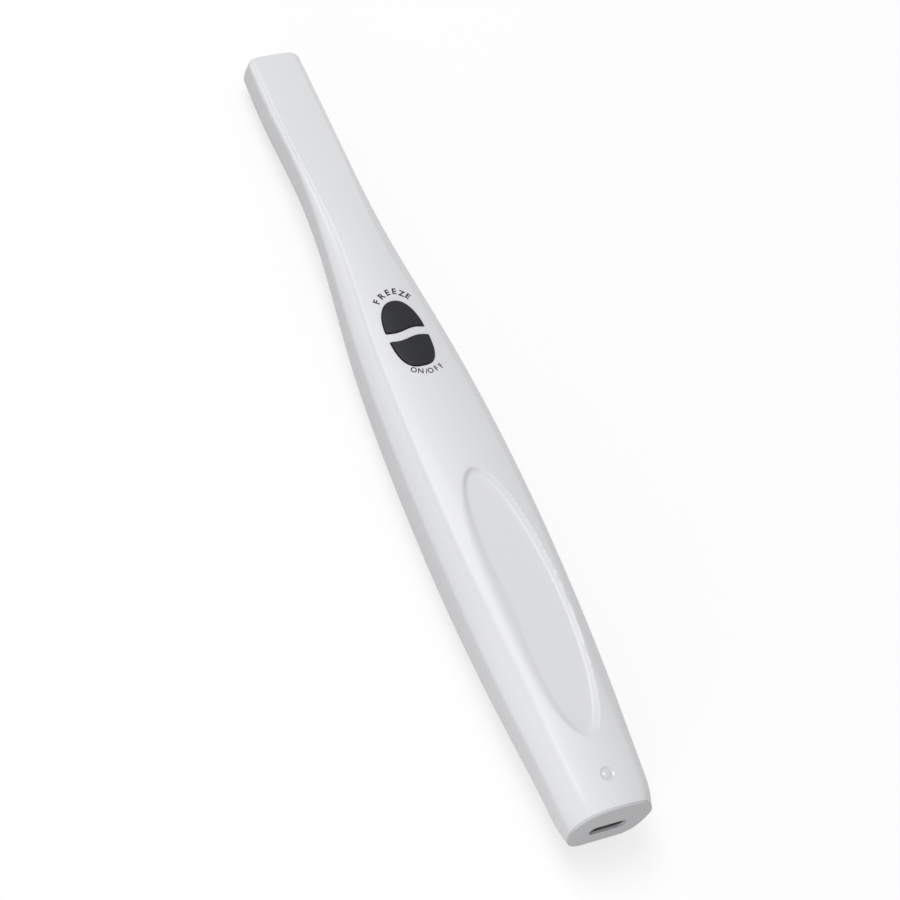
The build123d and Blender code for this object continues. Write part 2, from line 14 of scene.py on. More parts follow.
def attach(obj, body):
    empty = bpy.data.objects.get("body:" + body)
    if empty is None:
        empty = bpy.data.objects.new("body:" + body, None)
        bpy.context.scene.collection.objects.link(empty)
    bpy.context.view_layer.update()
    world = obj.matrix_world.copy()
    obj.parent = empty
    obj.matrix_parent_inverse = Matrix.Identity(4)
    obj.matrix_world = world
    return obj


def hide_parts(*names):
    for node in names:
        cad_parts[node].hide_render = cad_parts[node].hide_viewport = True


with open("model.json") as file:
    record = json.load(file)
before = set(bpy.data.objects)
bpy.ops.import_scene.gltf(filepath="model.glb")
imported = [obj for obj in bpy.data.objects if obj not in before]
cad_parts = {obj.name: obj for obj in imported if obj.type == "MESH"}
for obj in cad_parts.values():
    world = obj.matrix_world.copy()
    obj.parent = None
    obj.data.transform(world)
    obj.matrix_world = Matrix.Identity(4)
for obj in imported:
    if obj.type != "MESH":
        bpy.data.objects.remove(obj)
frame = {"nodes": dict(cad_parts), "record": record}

LOG = logging.getLogger("intraoral_camera")
MM = 0.001
WELD = 1e-7
SHARP_ANGLE = math.radians(40)
GLYPH_THICK = 0.02
GLYPH_STEPS = 6
Colour = Tuple[float, float, float]


class Body(Enum):
    """The rigid bodies that the scene's own pieces ride on."""

    HANDSET = "handset"


@dataclass(frozen=True)
class Station:
    """One cross-section of the handset, in millimetres, x counted from the tail."""

    x: float
    half_width: float
    crease: float
    top: float
    belly: float
    crown: float
    waist: float
    belly_flat: float
    squareness: float
    softness: float


STATIONS: Tuple[Station, ...] = (
    Station(0.0, 10.0, 6.8, 19.5, 3.7, 1.3, 0.56, 0.45, 0.62, 2.0),
    Station(3.5, 10.95, 7.7, 19.7, 3.2, 1.2, 0.62, 0.45, 0.62, 1.8),
    Station(9.0, 11.5, 8.3, 19.8, 2.9, 1.2, 0.66, 0.45, 0.62, 1.6),
    Station(32.0, 13.0, 9.0, 20.1, 1.5, 1.5, 0.69, 0.45, 0.62, 1.6),
    Station(64.0, 14.0, 10.6, 20.5, -0.25, 1.8, 0.70, 0.45, 0.62, 1.3),
    Station(98.0, 13.4, 10.0, 19.1, -0.25, 1.6, 0.72, 0.45, 0.62, 1.1),
    Station(127.0, 11.1, 8.0, 16.9, 0.9, 1.2, 0.74, 0.45, 0.64, 1.0),
    Station(152.0, 8.0, 5.2, 14.9, 4.2, 0.5, 0.76, 0.50, 0.72, 0.9),
    Station(170.0, 6.8, 5.4, 13.8, 4.8, 0.25, 0.83, 0.60, 0.82, 0.8),
    Station(191.0, 6.9, 5.6, 12.2, 3.4, 0.2, 0.84, 0.65, 0.84, 0.8),
    Station(205.4, 6.6, 5.5, 11.6, 3.3, 0.2, 0.84, 0.65, 0.84, 0.8),
)


class Curves:
    """Natural cubic curves through rows of values, one curve per column."""

    def __init__(self, xs: np.ndarray, values: np.ndarray) -> None:
        """Solves the curves' second derivatives.

        Args:
            xs: the places of the rows, rising.
            values: one row of values per place.
        """
        self.xs, self.values = np.asarray(xs, float), np.asarray(values, float)
        count = len(xs)
        gap = np.diff(self.xs)
        matrix, right = np.eye(count), np.zeros_like(self.values)
        for row in range(1, count - 1):
            matrix[row, row - 1:row + 2] = gap[row - 1], 2 * (gap[row - 1] + gap[row]), gap[row]
            slope_after = (self.values[row + 1] - self.values[row]) / gap[row]
            slope_before = (self.values[row] - self.values[row - 1]) / gap[row - 1]
            right[row] = 6 * (slope_after - slope_before)
        self.bends = np.linalg.solve(matrix, right)

    def at(self, x: np.ndarray, column: np.ndarray) -> np.ndarray:
        """Reads the curves.

        Args:
            x: places.
            column: the curve's number for each place, of a shape that fits x.

        Returns:
            The values.
        """
        x, column = np.broadcast_arrays(x, column)
        low = np.clip(np.searchsorted(self.xs, x) - 1, 0, len(self.xs) - 2)
        gap = self.xs[low + 1] - self.xs[low]
        after = (x - self.xs[low]) / gap
        before = 1 - after
        bend_low, bend_high = self.bends[low, column], self.bends[low + 1, column]
        curved = ((before**3 - before) * bend_low + (after**3 - after) * bend_high) * gap**2 / 6
        return before * self.values[low, column] + after * self.values[low + 1, column] + curved


def arc_through(first: np.ndarray, middle: np.ndarray, last: np.ndarray, count: int) -> np.ndarray:
    """Points of the circle's arc through three points.

    Args:
        first: start of the arc.
        middle: any point on it.
        last: end of the arc.
        count: number of points.

    Returns:
        The points, from first to last.
    """
    matrix = 2 * np.array([middle - first, last - first])
    right = np.array([middle @ middle - first @ first, last @ last - first @ first])
    centre = np.linalg.solve(matrix, right)
    angles = [math.atan2(p[1] - centre[1], p[0] - centre[0]) for p in (first, last)]
    turn = (angles[1] - angles[0] + math.pi) % (2 * math.pi) - math.pi
    steps = angles[0] + turn * np.linspace(0, 1, count)
    radius = np.linalg.norm(first - centre)
    return centre + radius * np.stack([np.cos(steps), np.sin(steps)], 1)


def bezier(controls: Sequence[np.ndarray], t: np.ndarray) -> np.ndarray:
    """Points of a Bezier curve by repeated linear mixing of its control points."""
    rows = [np.broadcast_to(c, t.shape + (2,)) for c in controls]
    while len(rows) > 1:
        rows = [a * (1 - t[..., None]) + b * t[..., None] for a, b in zip(rows, rows[1:])]
    return rows[0]


class BodyForm:
    """The handset's outer form in millimetres, x counted from the tail.

    A cross-section is a crown arc, a curved crease, a shoulder arc, a cubic side down to a flat
    underside. Points with the same place in neighbouring sections are joined by natural cubic
    curves along the handset. The tail is cut by a raked plane, the nose is rounded in plan and in
    height, and the underside is ground flat at height 0.
    """

    LENGTH = 205.4
    HALF = 102.7
    CROWN_POINTS = 32
    CREASE_POINTS = 9
    SHOULDER_POINTS = 8
    SIDE_POINTS = 8
    LOW_POINTS = 17
    FLOOR_POINTS = 6
    SEAM_SHARE = 0.46
    SEAM_HALVINGS = 40
    CREASE_SHARE = 0.6
    CREASE_LIMIT = 0.45
    CREASE_LIFT = 0.1
    CREASE_INSET = 0.75
    FLAT_INSET = 0.3
    WAIST_DROP = 0.15
    SHOULDER_BULGE = (0.21, 0.15)
    TAIL_OVERRUN = 6.0
    TAIL_RAKE = math.radians(3.5)
    RAKE_FADE = 16.0
    NOSE_ROUND = 2.0
    NOSE_EDGE = 0.8
    SLIM = 0.9985

    def __init__(self, inset: float = 0.0) -> None:
        """Computes the curves along the handset.

        Args:
            inset: distance by which the form lies inside the outer one.
        """
        self.inset = inset
        first, second = STATIONS[0], STATIONS[1]
        slope = self.TAIL_OVERRUN / (second.x - first.x)
        carried = {
            name: getattr(first, name) - (getattr(second, name) - getattr(first, name)) * slope
            for name in ("half_width", "crease", "top", "belly")
        }
        behind = replace(first, x=first.x - self.TAIL_OVERRUN, **carried)
        rows = (behind,) + STATIONS
        xs = np.array([s.x for s in rows])
        uppers, sides = zip(*(self.section(s) for s in rows))
        self.upper = Curves(xs, np.array([u.reshape(-1) for u in uppers]))
        self.side = Curves(xs, np.array([s.reshape(-1) for s in sides]))
        seams = np.array([[s.belly + (s.top - s.belly) * self.SEAM_SHARE] for s in STATIONS])
        self.seam = Curves(np.array([s.x for s in STATIONS]), seams)
        heights = np.array([[s.half_width, (s.top + s.belly) / 2, (s.top - s.belly) / 2] for s in rows])
        self.measures = Curves(xs, heights)

    def section(self, s: Station) -> Tuple[np.ndarray, np.ndarray]:
        """Half of one cross-section.

        Args:
            s: the station.

        Returns:
            Points from the middle of the crown to the waist, and the side's four control points.
        """
        inset = self.inset
        half, crease = s.half_width - inset, s.crease - inset * self.CREASE_INSET
        top, belly = s.top - inset, s.belly + inset
        crease_z = top - s.crown
        waist_z = min(s.belly + (s.top - s.belly) * s.waist, crease_z - self.WAIST_DROP)
        flat = s.half_width * s.belly_flat - inset * self.FLAT_INSET
        share = s.softness / math.hypot(half - crease, crease_z - waist_z) * self.CREASE_SHARE
        share = min(share, self.CREASE_LIMIT)
        end = np.array([crease - s.softness, top - s.crown * ((crease - s.softness) / crease) ** 2])
        start = np.array([crease + (half - crease) * share, crease_z - (crease_z - waist_z) * share])
        waist = np.array([half, waist_z])
        mirrored_end = end * (-1, 1)
        whole = arc_through(mirrored_end, np.array([0.0, top]), end, 2 * self.CROWN_POINTS - 1)
        crown = whole[self.CROWN_POINTS - 1:]
        hold = np.array([crease, crease_z + self.CREASE_LIFT])
        turn = bezier([end, hold, start], np.linspace(0, 1, self.CREASE_POINTS))
        middle = (start + waist) / 2 + np.array(self.SHOULDER_BULGE)
        shoulder = arc_through(start, middle, waist, self.SHOULDER_POINTS)
        points = np.concatenate([crown, turn[1:], shoulder[1:]])
        hold_z = waist_z - (waist_z - belly) * s.squareness
        hold_y = flat + (half - flat) * s.squareness
        controls = np.array([waist, [half, hold_z], [hold_y, belly], [flat, belly]])
        return points, controls

    def seam_place(self, x: np.ndarray) -> np.ndarray:
        """Where on the side's cubic the parting line lies, found by halving.

        Args:
            x: places along the handset.

        Returns:
            The cubic's parameter at each place.
        """
        low, high = np.zeros_like(x), np.ones_like(x)
        goal = self.seam.at(x, 0)
        for _ in range(self.SEAM_HALVINGS):
            t = (low + high) / 2
            above = self.side_points(x, t)[..., 1] > goal
            low, high = np.where(above, t, low), np.where(above, high, t)
        return (low + high) / 2

    def side_points(self, x: np.ndarray, t: np.ndarray) -> np.ndarray:
        """Points of the side's cubic, one per place and parameter."""
        u = 1 - t
        weights = (u**3, 3 * u * u * t, 3 * u * t * t, t**3)
        y = sum(w * self.side.at(x, 2 * k) for k, w in enumerate(weights))
        z = sum(w * self.side.at(x, 2 * k + 1) for k, w in enumerate(weights))
        return np.stack([y, z], -1)

    def upper_half(self, x: np.ndarray, t: np.ndarray) -> np.ndarray:
        """Half sections from the crown's middle down to the seam, as rows of (y, z)."""
        count = self.upper.values.shape[1] // 2
        columns = np.arange(count)
        head = x[:, :count]
        points = np.stack([self.upper.at(head, 2 * columns), self.upper.at(head, 2 * columns + 1)], -1)
        return np.concatenate([points, self.side_points(x[:, count:], t)], 1)

    def raked(self, x: np.ndarray, z: np.ndarray) -> np.ndarray:
        """Places moved towards the raked tail plane, less and less away from the tail."""
        fade = np.clip(1 - x / self.RAKE_FADE, 0, 1)
        return x + (z - STATIONS[0].belly) * math.tan(self.TAIL_RAKE) * fade

    def rounded(self, x: np.ndarray, points: np.ndarray) -> np.ndarray:
        """Points drawn in towards the section's middle where the nose is round."""
        past = np.clip((x - self.LENGTH + self.NOSE_ROUND) / self.NOSE_ROUND, 0, 1)
        edge = np.clip((x - self.LENGTH + self.NOSE_EDGE) / self.NOSE_EDGE, 0, 1)
        aside = self.NOSE_ROUND * (1 - np.sqrt(1 - past**2))
        above = self.NOSE_EDGE * (1 - np.sqrt(1 - edge**2))
        half, middle, tall = (self.measures.at(x, k) for k in range(3))
        y = points[..., 0] * (1 - aside / half) * self.SLIM
        z = middle + (points[..., 1] - middle) * (1 - above / tall)
        return np.stack([y, z], -1)

    def crown_height(self, x: np.ndarray, y: np.ndarray) -> np.ndarray:
        """Height of the form's top over any place.

        Args:
            x: places along the handset.
            y: places across it.

        Returns:
            The heights.
        """
        count = self.upper.values.shape[1] // 2
        columns = np.arange(count)
        heights = []
        for px, py in zip(np.ravel(x), np.ravel(y)):
            across = self.upper.at(np.full(count, px), 2 * columns)
            above = self.upper.at(np.full(count, px), 2 * columns + 1)
            heights.append(np.interp(abs(py), across, above))
        return np.array(heights).reshape(np.shape(x))


@dataclass(frozen=True)
class Recess:
    """The long oval thumb recess, as a change of height on the crown.

    The floor rises a little to the left. Inside the oval's edge a wall climbs from the floor to
    the crown. It is narrow at the ends and on the right, and wide and soft on the left.
    """

    x: float = 52.4
    half_long: float = 33.95
    half_wide: float = 8.9
    floor: float = 18.65
    wall: float = 1.05
    tail_wall: float = 1.5
    soft_wall: float = 5.0
    steepness: float = 1.7
    tilt: float = 0.06

    def lowered(self, x: np.ndarray, y: np.ndarray, z: np.ndarray, drop: float = 0.0) -> np.ndarray:
        """Heights with the recess pressed in.

        Args:
            x: places along the handset.
            y: places across it.
            z: heights of the plain crown.
            drop: further depth of the floor, for the inside of the wall.

        Returns:
            The new heights.
        """
        along, across = (x - self.x) / self.half_long, y / self.half_wide
        spread = np.hypot(along, across)
        slope = np.hypot(along / self.half_long, across / self.half_wide)
        tiny = 1e-6
        inward = spread * (1 - spread) / np.maximum(slope, tiny)
        inward = np.where(spread > tiny, inward, self.half_wide)
        left = np.clip(across / np.maximum(spread, tiny), 0, 1) ** 2
        tail = np.clip(-along / np.maximum(spread, tiny), 0, 1) ** 2
        width = self.wall + (self.soft_wall - self.wall) * left + (self.tail_wall - self.wall) * tail
        share = np.clip(inward / width, 0, 1)
        crisp = (1 - share) ** self.steepness
        soft = 0.5 + 0.5 * np.cos(np.pi * share)
        kept = crisp + (soft - crisp) * left
        floor = np.minimum(self.floor + self.tilt * y - drop, z)
        return np.where(spread < 1, floor + (z - floor) * kept, z)


def solid(name: str, vertices: np.ndarray, faces: Sequence[Sequence[int]]) -> bpy.types.Object:
    """Makes a closed smooth-shaded object from vertices in millimetres, x counted from the tail.

    Args:
        name: the object's name.
        vertices: rows of x, y, z.
        faces: rows of vertex numbers.

    Returns:
        The object, at the origin, with doubled points welded and all faces turned outward.
    """
    mesh = bpy.data.meshes.new(name)
    placed = (np.asarray(vertices, float) - (BodyForm.HALF, 0, 0)) * MM
    mesh.from_pydata(placed.tolist(), [], [tuple(int(i) for i in face) for face in faces])
    tidy = bmesh.new()
    tidy.from_mesh(mesh)
    bmesh.ops.remove_doubles(tidy, verts=tidy.verts, dist=WELD)
    bmesh.ops.recalc_face_normals(tidy, faces=tidy.faces)
    tidy.to_mesh(mesh)
    tidy.free()
    shade(mesh)
    piece = bpy.data.objects.new(name, mesh)
    bpy.context.scene.collection.objects.link(piece)
    return piece


def shade(mesh: bpy.types.Mesh) -> None:
    """Shades a mesh smoothly and keeps its sharp edges."""
    mesh.shade_smooth()
    mesh.set_sharp_from_angle(angle=SHARP_ANGLE)


def grid_faces(rows: int, columns: int, start: int = 0, ring: bool = False) -> List[Sequence[int]]:
    """Quads of a grid whose vertices are numbered row by row.

    Args:
        rows: number of rows.
        columns: number of columns.
        start: number of the first vertex.
        ring: whether the last column joins the first.

    Returns:
        The quads.
    """
    faces: List[Sequence[int]] = []
    for row in range(rows - 1):
        for column in range(columns if ring else columns - 1):
            a = start + row * columns + column
            b = start + row * columns + (column + 1) % columns
            faces.append((a, b, b + columns, a + columns))
    return faces


def prism(name: str, outline: np.ndarray, low: float, high: float) -> bpy.types.Object:
    """Upright prism over an outline in plan."""
    count = len(outline)
    rows = [np.column_stack([outline, np.full(count, z)]) for z in (low, high)]
    faces = grid_faces(2, count, ring=True)
    faces += [tuple(range(count)), tuple(range(count, 2 * count))]
    return solid(name, np.concatenate(rows), faces)


def circle(x: float, y: float, radius: float, count: int = 96) -> np.ndarray:
    """Outline of a circle in plan."""
    angles = np.linspace(0, 2 * np.pi, count, endpoint=False)
    return np.column_stack([x + radius * np.cos(angles), y + radius * np.sin(angles)])


def cut(piece: bpy.types.Object, cutters: Sequence[bpy.types.Object]) -> None:
    """Takes the cutters away from a piece and removes them.

    Args:
        piece: the closed object that is cut.
        cutters: closed objects.
    """
    for cutter in cutters:
        modifier = piece.modifiers.new("cut", "BOOLEAN")
        modifier.operation, modifier.solver, modifier.object = "DIFFERENCE", "EXACT", cutter
    graph = bpy.context.evaluated_depsgraph_get()
    mesh = bpy.data.meshes.new_from_object(piece.evaluated_get(graph))
    piece.modifiers.clear()
    piece.data = mesh
    for cutter in cutters:
        bpy.data.objects.remove(cutter)
    shade(mesh)


class ShellSkins:
    """The two moulded shells as closed skins with a wall, a softened crease and a fine seam."""

    WALL = 1.3
    START = 0.12
    GROOVE = 0.07
    SEAM_STEP = 0.012
    NOSE_ROWS = 11
    NOSE_CLOSING = (0.85, 0.5, 0.0)
    INNER_NOSE = 203.0
    INNER_SHARE = 0.35

    def __init__(self) -> None:
        """Computes the outer and the inner form."""
        self.outer, self.inner = BodyForm(), BodyForm(self.WALL)
        self.recess = Recess()

    def places(self, coarse: float, fine: float) -> np.ndarray:
        """Rows along the handset, closer over the recess and round the nose.

        Args:
            coarse: distance between rows.
            fine: distance between rows over the recess.

        Returns:
            The rows' places.
        """
        low = self.recess.x - self.recess.half_long - 1
        high = self.recess.x + self.recess.half_long + 1
        nose = BodyForm.LENGTH - BodyForm.NOSE_ROUND
        spans = [
            np.arange(self.START, low, coarse),
            np.arange(low, high, fine),
            np.arange(high, nose, coarse),
            nose + BodyForm.NOSE_ROUND * np.sin(np.linspace(0, np.pi / 2, self.NOSE_ROWS)),
        ]
        return np.concatenate(spans)

    def surface(self, form: BodyForm, rows: np.ndarray, upper: bool) -> np.ndarray:
        """One surface as a grid of points from the right seam to the left seam.

        Args:
            form: outer or inner form.
            rows: places along the handset.
            upper: the upper shell's surface, or else the lower one's.

        Returns:
            Points of shape rows, columns, 3. The last rows close the nose in one point.
        """
        seam = form.seam_place(rows)[:, None]
        if upper:
            steps = np.linspace(0, 1, form.SIDE_POINTS)[1:]
            t = np.concatenate([steps * (seam - self.SEAM_STEP), seam], 1)
            count = form.upper.values.shape[1] // 2 + t.shape[1]
            wide = np.repeat(rows[:, None], count, 1)
            place = form.raked(wide, form.upper_half(wide, t)[..., 1])
            points = form.upper_half(place, t)
        else:
            steps = np.linspace(1, 0, form.LOW_POINTS)
            t = np.concatenate([seam + self.SEAM_STEP + steps * (1 - seam - self.SEAM_STEP), seam], 1)
            wide = np.repeat(rows[:, None], t.shape[1], 1)
            place = form.raked(wide, form.side_points(wide, t)[..., 1])
            points = form.side_points(place, t)
            flat = np.repeat(points[:, :1], form.FLOOR_POINTS - 1, 1)
            flat[..., 0] *= np.linspace(0, 1, form.FLOOR_POINTS)[:-1]
            points = np.concatenate([flat, points], 1)
            place = np.concatenate([np.repeat(place[:, :1], form.FLOOR_POINTS - 1, 1), place], 1)
        if form.inset == 0:
            points[:, -1, 0] -= self.GROOVE
        points = form.rounded(place, points)
        half = np.concatenate([place[..., None], points], -1)
        whole = np.concatenate([half[:, :0:-1] * (1, -1, 1), half], 1)
        if upper:
            whole[..., 2] = self.recess.lowered(whole[..., 0], whole[..., 1], whole[..., 2], form.inset)
        else:
            whole[..., 2] = np.maximum(whole[..., 2], form.inset)
        end = whole[-1:]
        middle = np.array([end[0, 0, 0], 0.0, end[0, 0, 2]])
        closing = [middle + (end - middle) * share for share in self.NOSE_CLOSING]
        return np.concatenate([whole, *closing])

    def build(self, name: str, upper: bool, coarse: float, fine: float) -> bpy.types.Object:
        """Makes one shell.

        Args:
            name: the object's name.
            upper: the upper shell, or else the lower one.
            coarse: distance between rows.
            fine: distance between rows over the recess.

        Returns:
            The closed shell, before its openings are cut.
        """
        rows = self.places(coarse, fine)
        outer = self.surface(self.outer, rows, upper)
        past = np.maximum(rows - self.INNER_NOSE, 0)
        inner = self.surface(self.inner, rows - past * (1 - self.INNER_SHARE), upper)
        count, columns = outer.shape[:2]
        size = count * columns
        faces = grid_faces(count, columns) + grid_faces(count, columns, size)
        for row in range(count - 1):
            for column in (0, columns - 1):
                a = row * columns + column
                faces.append((a, a + columns, a + columns + size, a + size))
        for column in range(columns - 1):
            faces.append((column, column + 1, column + 1 + size, column + size))
        vertices = np.concatenate([outer.reshape(-1, 3), inner.reshape(-1, 3)])
        return solid(name, vertices, faces)


@dataclass(frozen=True)
class KeyOpening:
    """Plan outline of one key of the oval pair, parted by the S-shaped gap."""

    OVAL_POINTS: ClassVar[int] = 600
    GAP_POINTS: ClassVar[int] = 200

    x: float = 123.25
    half_long: float = 9.0
    half_wide: float = 4.9
    freeze_bluntness: float = 2.2
    power_bluntness: float = 2.8
    gap: float = 2.5
    wave: float = 0.35
    shift: float = -0.1
    clearance: float = 0.2
    rounding: float = 0.4
    step: float = 0.08

    def outline(self, tip_side: bool) -> np.ndarray:
        """Works out one opening.

        Args:
            tip_side: the key nearer the tip, or else the one nearer the tail.

        Returns:
            The closed outline with rounded corners.
        """
        grow, sign = self.clearance, 1.0 if tip_side else -1.0
        bluntness = self.freeze_bluntness if tip_side else self.power_bluntness
        angles = np.linspace(-np.pi / 2, np.pi / 2, self.OVAL_POINTS)
        x = (self.half_long + grow) * np.abs(np.cos(angles)) ** (2 / bluntness)
        y = (self.half_wide + grow) * np.sign(np.sin(angles)) * np.abs(np.sin(angles)) ** (2 / bluntness)
        edge = sign * self.edge(y) + self.gap / 2 - grow
        inside = x > edge
        x, y = x[inside], y[inside]
        back_y = np.linspace(y[-1], y[0], self.GAP_POINTS)[1:-1]
        back_x = sign * self.edge(back_y) + self.gap / 2 - grow
        loop = np.column_stack([np.concatenate([x, back_x]) * sign + self.x, np.concatenate([y, back_y])])
        return self.softened(loop)

    def edge(self, y: np.ndarray) -> np.ndarray:
        """The gap's middle line, a sine wave over the pair's width."""
        return self.shift - self.wave * np.sin(np.pi * y / self.half_wide)

    def softened(self, loop: np.ndarray) -> np.ndarray:
        """Even points along a closed loop, averaged over a short run so that corners turn round."""
        closed = np.concatenate([loop, loop[:1]])
        run = np.concatenate([[0], np.cumsum(np.linalg.norm(np.diff(closed, axis=0), axis=1))])
        count = int(run[-1] / self.step)
        even = np.linspace(0, run[-1], count, endpoint=False)
        points = np.column_stack([np.interp(even, run, closed[:, k]) for k in range(2)])
        reach = int(self.rounding / self.step)
        return sum(np.roll(points, shift, 0) for shift in range(-reach, reach + 1)) / (2 * reach + 1)


class IndicatorLight:
    """The round indicator: a flush head with one soft ring groove, and its pipe down to the lamp."""

    X = 9.1
    HOLE = 1.72
    HEAD = 1.71
    HEAD_THICK = 0.9
    PIPE = 0.9
    GROOVE_RADIUS = 1.2
    GROOVE_WIDTH = 0.38
    GROOVE_DEPTH = 0.25
    FOOT = 10.6
    TURNS = 72
    RINGS = 30

    def build(self, form: BodyForm) -> bpy.types.Object:
        """Makes the indicator as a turned profile draped over the crown.

        Args:
            form: the handset's outer form.

        Returns:
            The closed piece.
        """
        radii = np.linspace(0, self.HEAD, self.RINGS)
        dent = -self.GROOVE_DEPTH * np.exp(-(((radii - self.GROOVE_RADIUS) / self.GROOVE_WIDTH) ** 2))
        angles = np.linspace(0, 2 * np.pi, self.TURNS, endpoint=False)
        x = self.X + radii[:, None] * np.cos(angles)
        y = radii[:, None] * np.sin(angles)
        z = form.crown_height(x, y) + dent[:, None]
        rings = [np.stack([x, y, z], -1)]
        low = z.min() - self.HEAD_THICK
        corners = ((self.HEAD, low), (self.PIPE, low), (self.PIPE, self.FOOT), (0.0, self.FOOT))
        for radius, height in corners:
            round_plan = circle(self.X, 0.0, radius, self.TURNS)
            rings.append(np.column_stack([round_plan, np.full(self.TURNS, height)])[None])
        grid = np.concatenate(rings)
        faces = grid_faces(len(grid), self.TURNS, ring=True)
        return solid("indicator_light", grid.reshape(-1, 3), faces)


@dataclass(frozen=True)
class Letter:
    """One printed letter: its character and its middle in plan, in millimetres."""

    mark: str
    x: float
    y: float


@dataclass(frozen=True)
class Legend:
    """A word printed along an arc over the crown."""

    name: str
    letters: Tuple[Letter, ...]
    centre: Tuple[float, float]
    outward: bool
    tall: float
    weight: float
    lift: float = 0.02
    sunk: float = 0.03

    def build(self, form: BodyForm) -> bpy.types.Object:
        """Makes the word as thin closed letters draped over the crown.

        Args:
            form: the handset's outer form.

        Returns:
            One object with all the letters.
        """
        vertices: List[np.ndarray] = []
        faces: List[Sequence[int]] = []
        start = 0
        for letter in self.letters:
            points, rows = self.glyph(letter.mark, self.weight)
            middle = (points[:, :2].min(0) + points[:, :2].max(0)) / 2
            flat = (points[:, :2] - middle) * self.tall / self.capital_height()
            up = np.array([letter.x - self.centre[0], letter.y - self.centre[1]])
            up = up / np.linalg.norm(up) * (1 if self.outward else -1)
            right = np.array([up[1], -up[0]])
            plan = np.array([letter.x, letter.y]) + flat[:, :1] * right + flat[:, 1:] * up
            height = form.crown_height(plan[:, 0], plan[:, 1])
            height = height + np.where(points[:, 2] > 0, self.lift, -self.sunk)
            vertices.append(np.column_stack([plan, height]))
            faces += [[start + i for i in row] for row in rows]
            start += len(points)
        return solid(self.name, np.concatenate(vertices), faces)

    @staticmethod
    def glyph(mark: str, weight: float) -> Tuple[np.ndarray, List[List[int]]]:
        """Outline of one character of the built-in typeface as a thin closed mesh.

        Args:
            mark: the character.
            weight: how far its strokes are thickened on each side.

        Returns:
            Its points, with positive heights on the front, and its faces.
        """
        curve = bpy.data.curves.new("glyph", "FONT")
        curve.body, curve.offset = mark, weight
        curve.extrude, curve.resolution_u = GLYPH_THICK, GLYPH_STEPS
        holder = bpy.data.objects.new("glyph", curve)
        bpy.context.scene.collection.objects.link(holder)
        graph = bpy.context.evaluated_depsgraph_get()
        mesh = bpy.data.meshes.new_from_object(holder.evaluated_get(graph))
        points = np.array([v.co[:] for v in mesh.vertices])
        rows = [list(face.vertices) for face in mesh.polygons]
        bpy.data.objects.remove(holder)
        bpy.data.curves.remove(curve)
        bpy.data.meshes.remove(mesh)
        return points, rows

    @classmethod
    def capital_height(cls) -> float:
        """Height of a capital letter of the built-in typeface."""
        points, _faces = cls.glyph("E", 0.0)
        return float(np.ptp(points[:, 1]))


LEGENDS: Tuple[Legend, ...] = (
    Legend("freeze_legend", (
        Letter("F", 133.12, 3.53),
        Letter("R", 134.27, 1.81),
        Letter("E", 134.87, 0.07),
        Letter("E", 134.88, -1.70),
        Letter("Z", 133.98, -3.32),
        Letter("E", 133.04, -4.61),
    ), centre=(129.8, -0.5), outward=True, tall=1.5, weight=0.028),
    Legend("power_legend", (
        Letter("O", 113.61, 2.70),
        Letter("N", 112.95, 1.21),
        Letter("/", 112.49, -0.07),
        Letter("O", 112.51, -1.12),
        Letter("F", 112.83, -2.79),
        Letter("F", 113.32, -4.24),
    ), centre=(118.0, -0.75), outward=False, tall=1.28, weight=0.018),
)


class Camera:
    """The whole visual handset: skins, indicator and legends over the CAD frame."""

    WINDOW_X = 196.0
    WINDOW_Z = 3.35
    WINDOW_STEPS = ((5.1, 0.65), (4.2, 1.35), (3.7, 3.0))
    UNDER = -2.0
    OVER = 25.0
    KEY_HOLE_LOW = 8.0
    LAMP_HOLE_LOW = 15.0
    ROW_STEP = 1.0
    RECESS_STEP = 0.36

    def __init__(self, book: "FinishBook") -> None:
        """Keeps the finishes.

        Args:
            book: every material by its slot name.
        """
        self.book = book
        self.skins = ShellSkins()

    def place(self, piece: bpy.types.Object, slot: str, *nodes: str) -> None:
        """Dresses a piece, ties it to the handset and lets it stand for CAD nodes.

        Args:
            piece: the object.
            slot: its material slot.
            *nodes: names of CAD nodes that it stands for.
        """
        self.book.dress(piece, slot)
        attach(piece, Body.HANDSET.value)
        if nodes:
            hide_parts(*nodes)
        LOG.info("%s: %d faces", piece.name, len(piece.data.polygons))

    def build(self) -> None:
        """Makes every piece."""
        upper = self.skins.build("upper_skin", True, self.ROW_STEP, self.RECESS_STEP)
        opening = KeyOpening()
        cutters = [
            prism("key_hole", opening.outline(side), self.KEY_HOLE_LOW, self.OVER) for side in (True, False)
        ]
        lamp_hole = circle(IndicatorLight.X, 0.0, IndicatorLight.HOLE)
        cutters.append(prism("lamp_hole", lamp_hole, self.LAMP_HOLE_LOW, self.OVER))
        cut(upper, cutters)
        self.place(upper, "white_shell", "upper_shell")

        lower = self.skins.build("lower_skin", False, self.ROW_STEP, self.ROW_STEP)
        cutters = [
            prism("window_hole", circle(self.WINDOW_X, 0.0, radius), self.UNDER, self.WINDOW_Z + rise)
            for radius, rise in self.WINDOW_STEPS
        ]
        cut(lower, cutters)
        self.place(lower, "white_shell", "lower_shell")

        form = self.skins.outer
        self.place(IndicatorLight().build(form), "light_pipe", "indicator_lens")
        for legend in LEGENDS:
            self.place(legend.build(form), "key_grey")


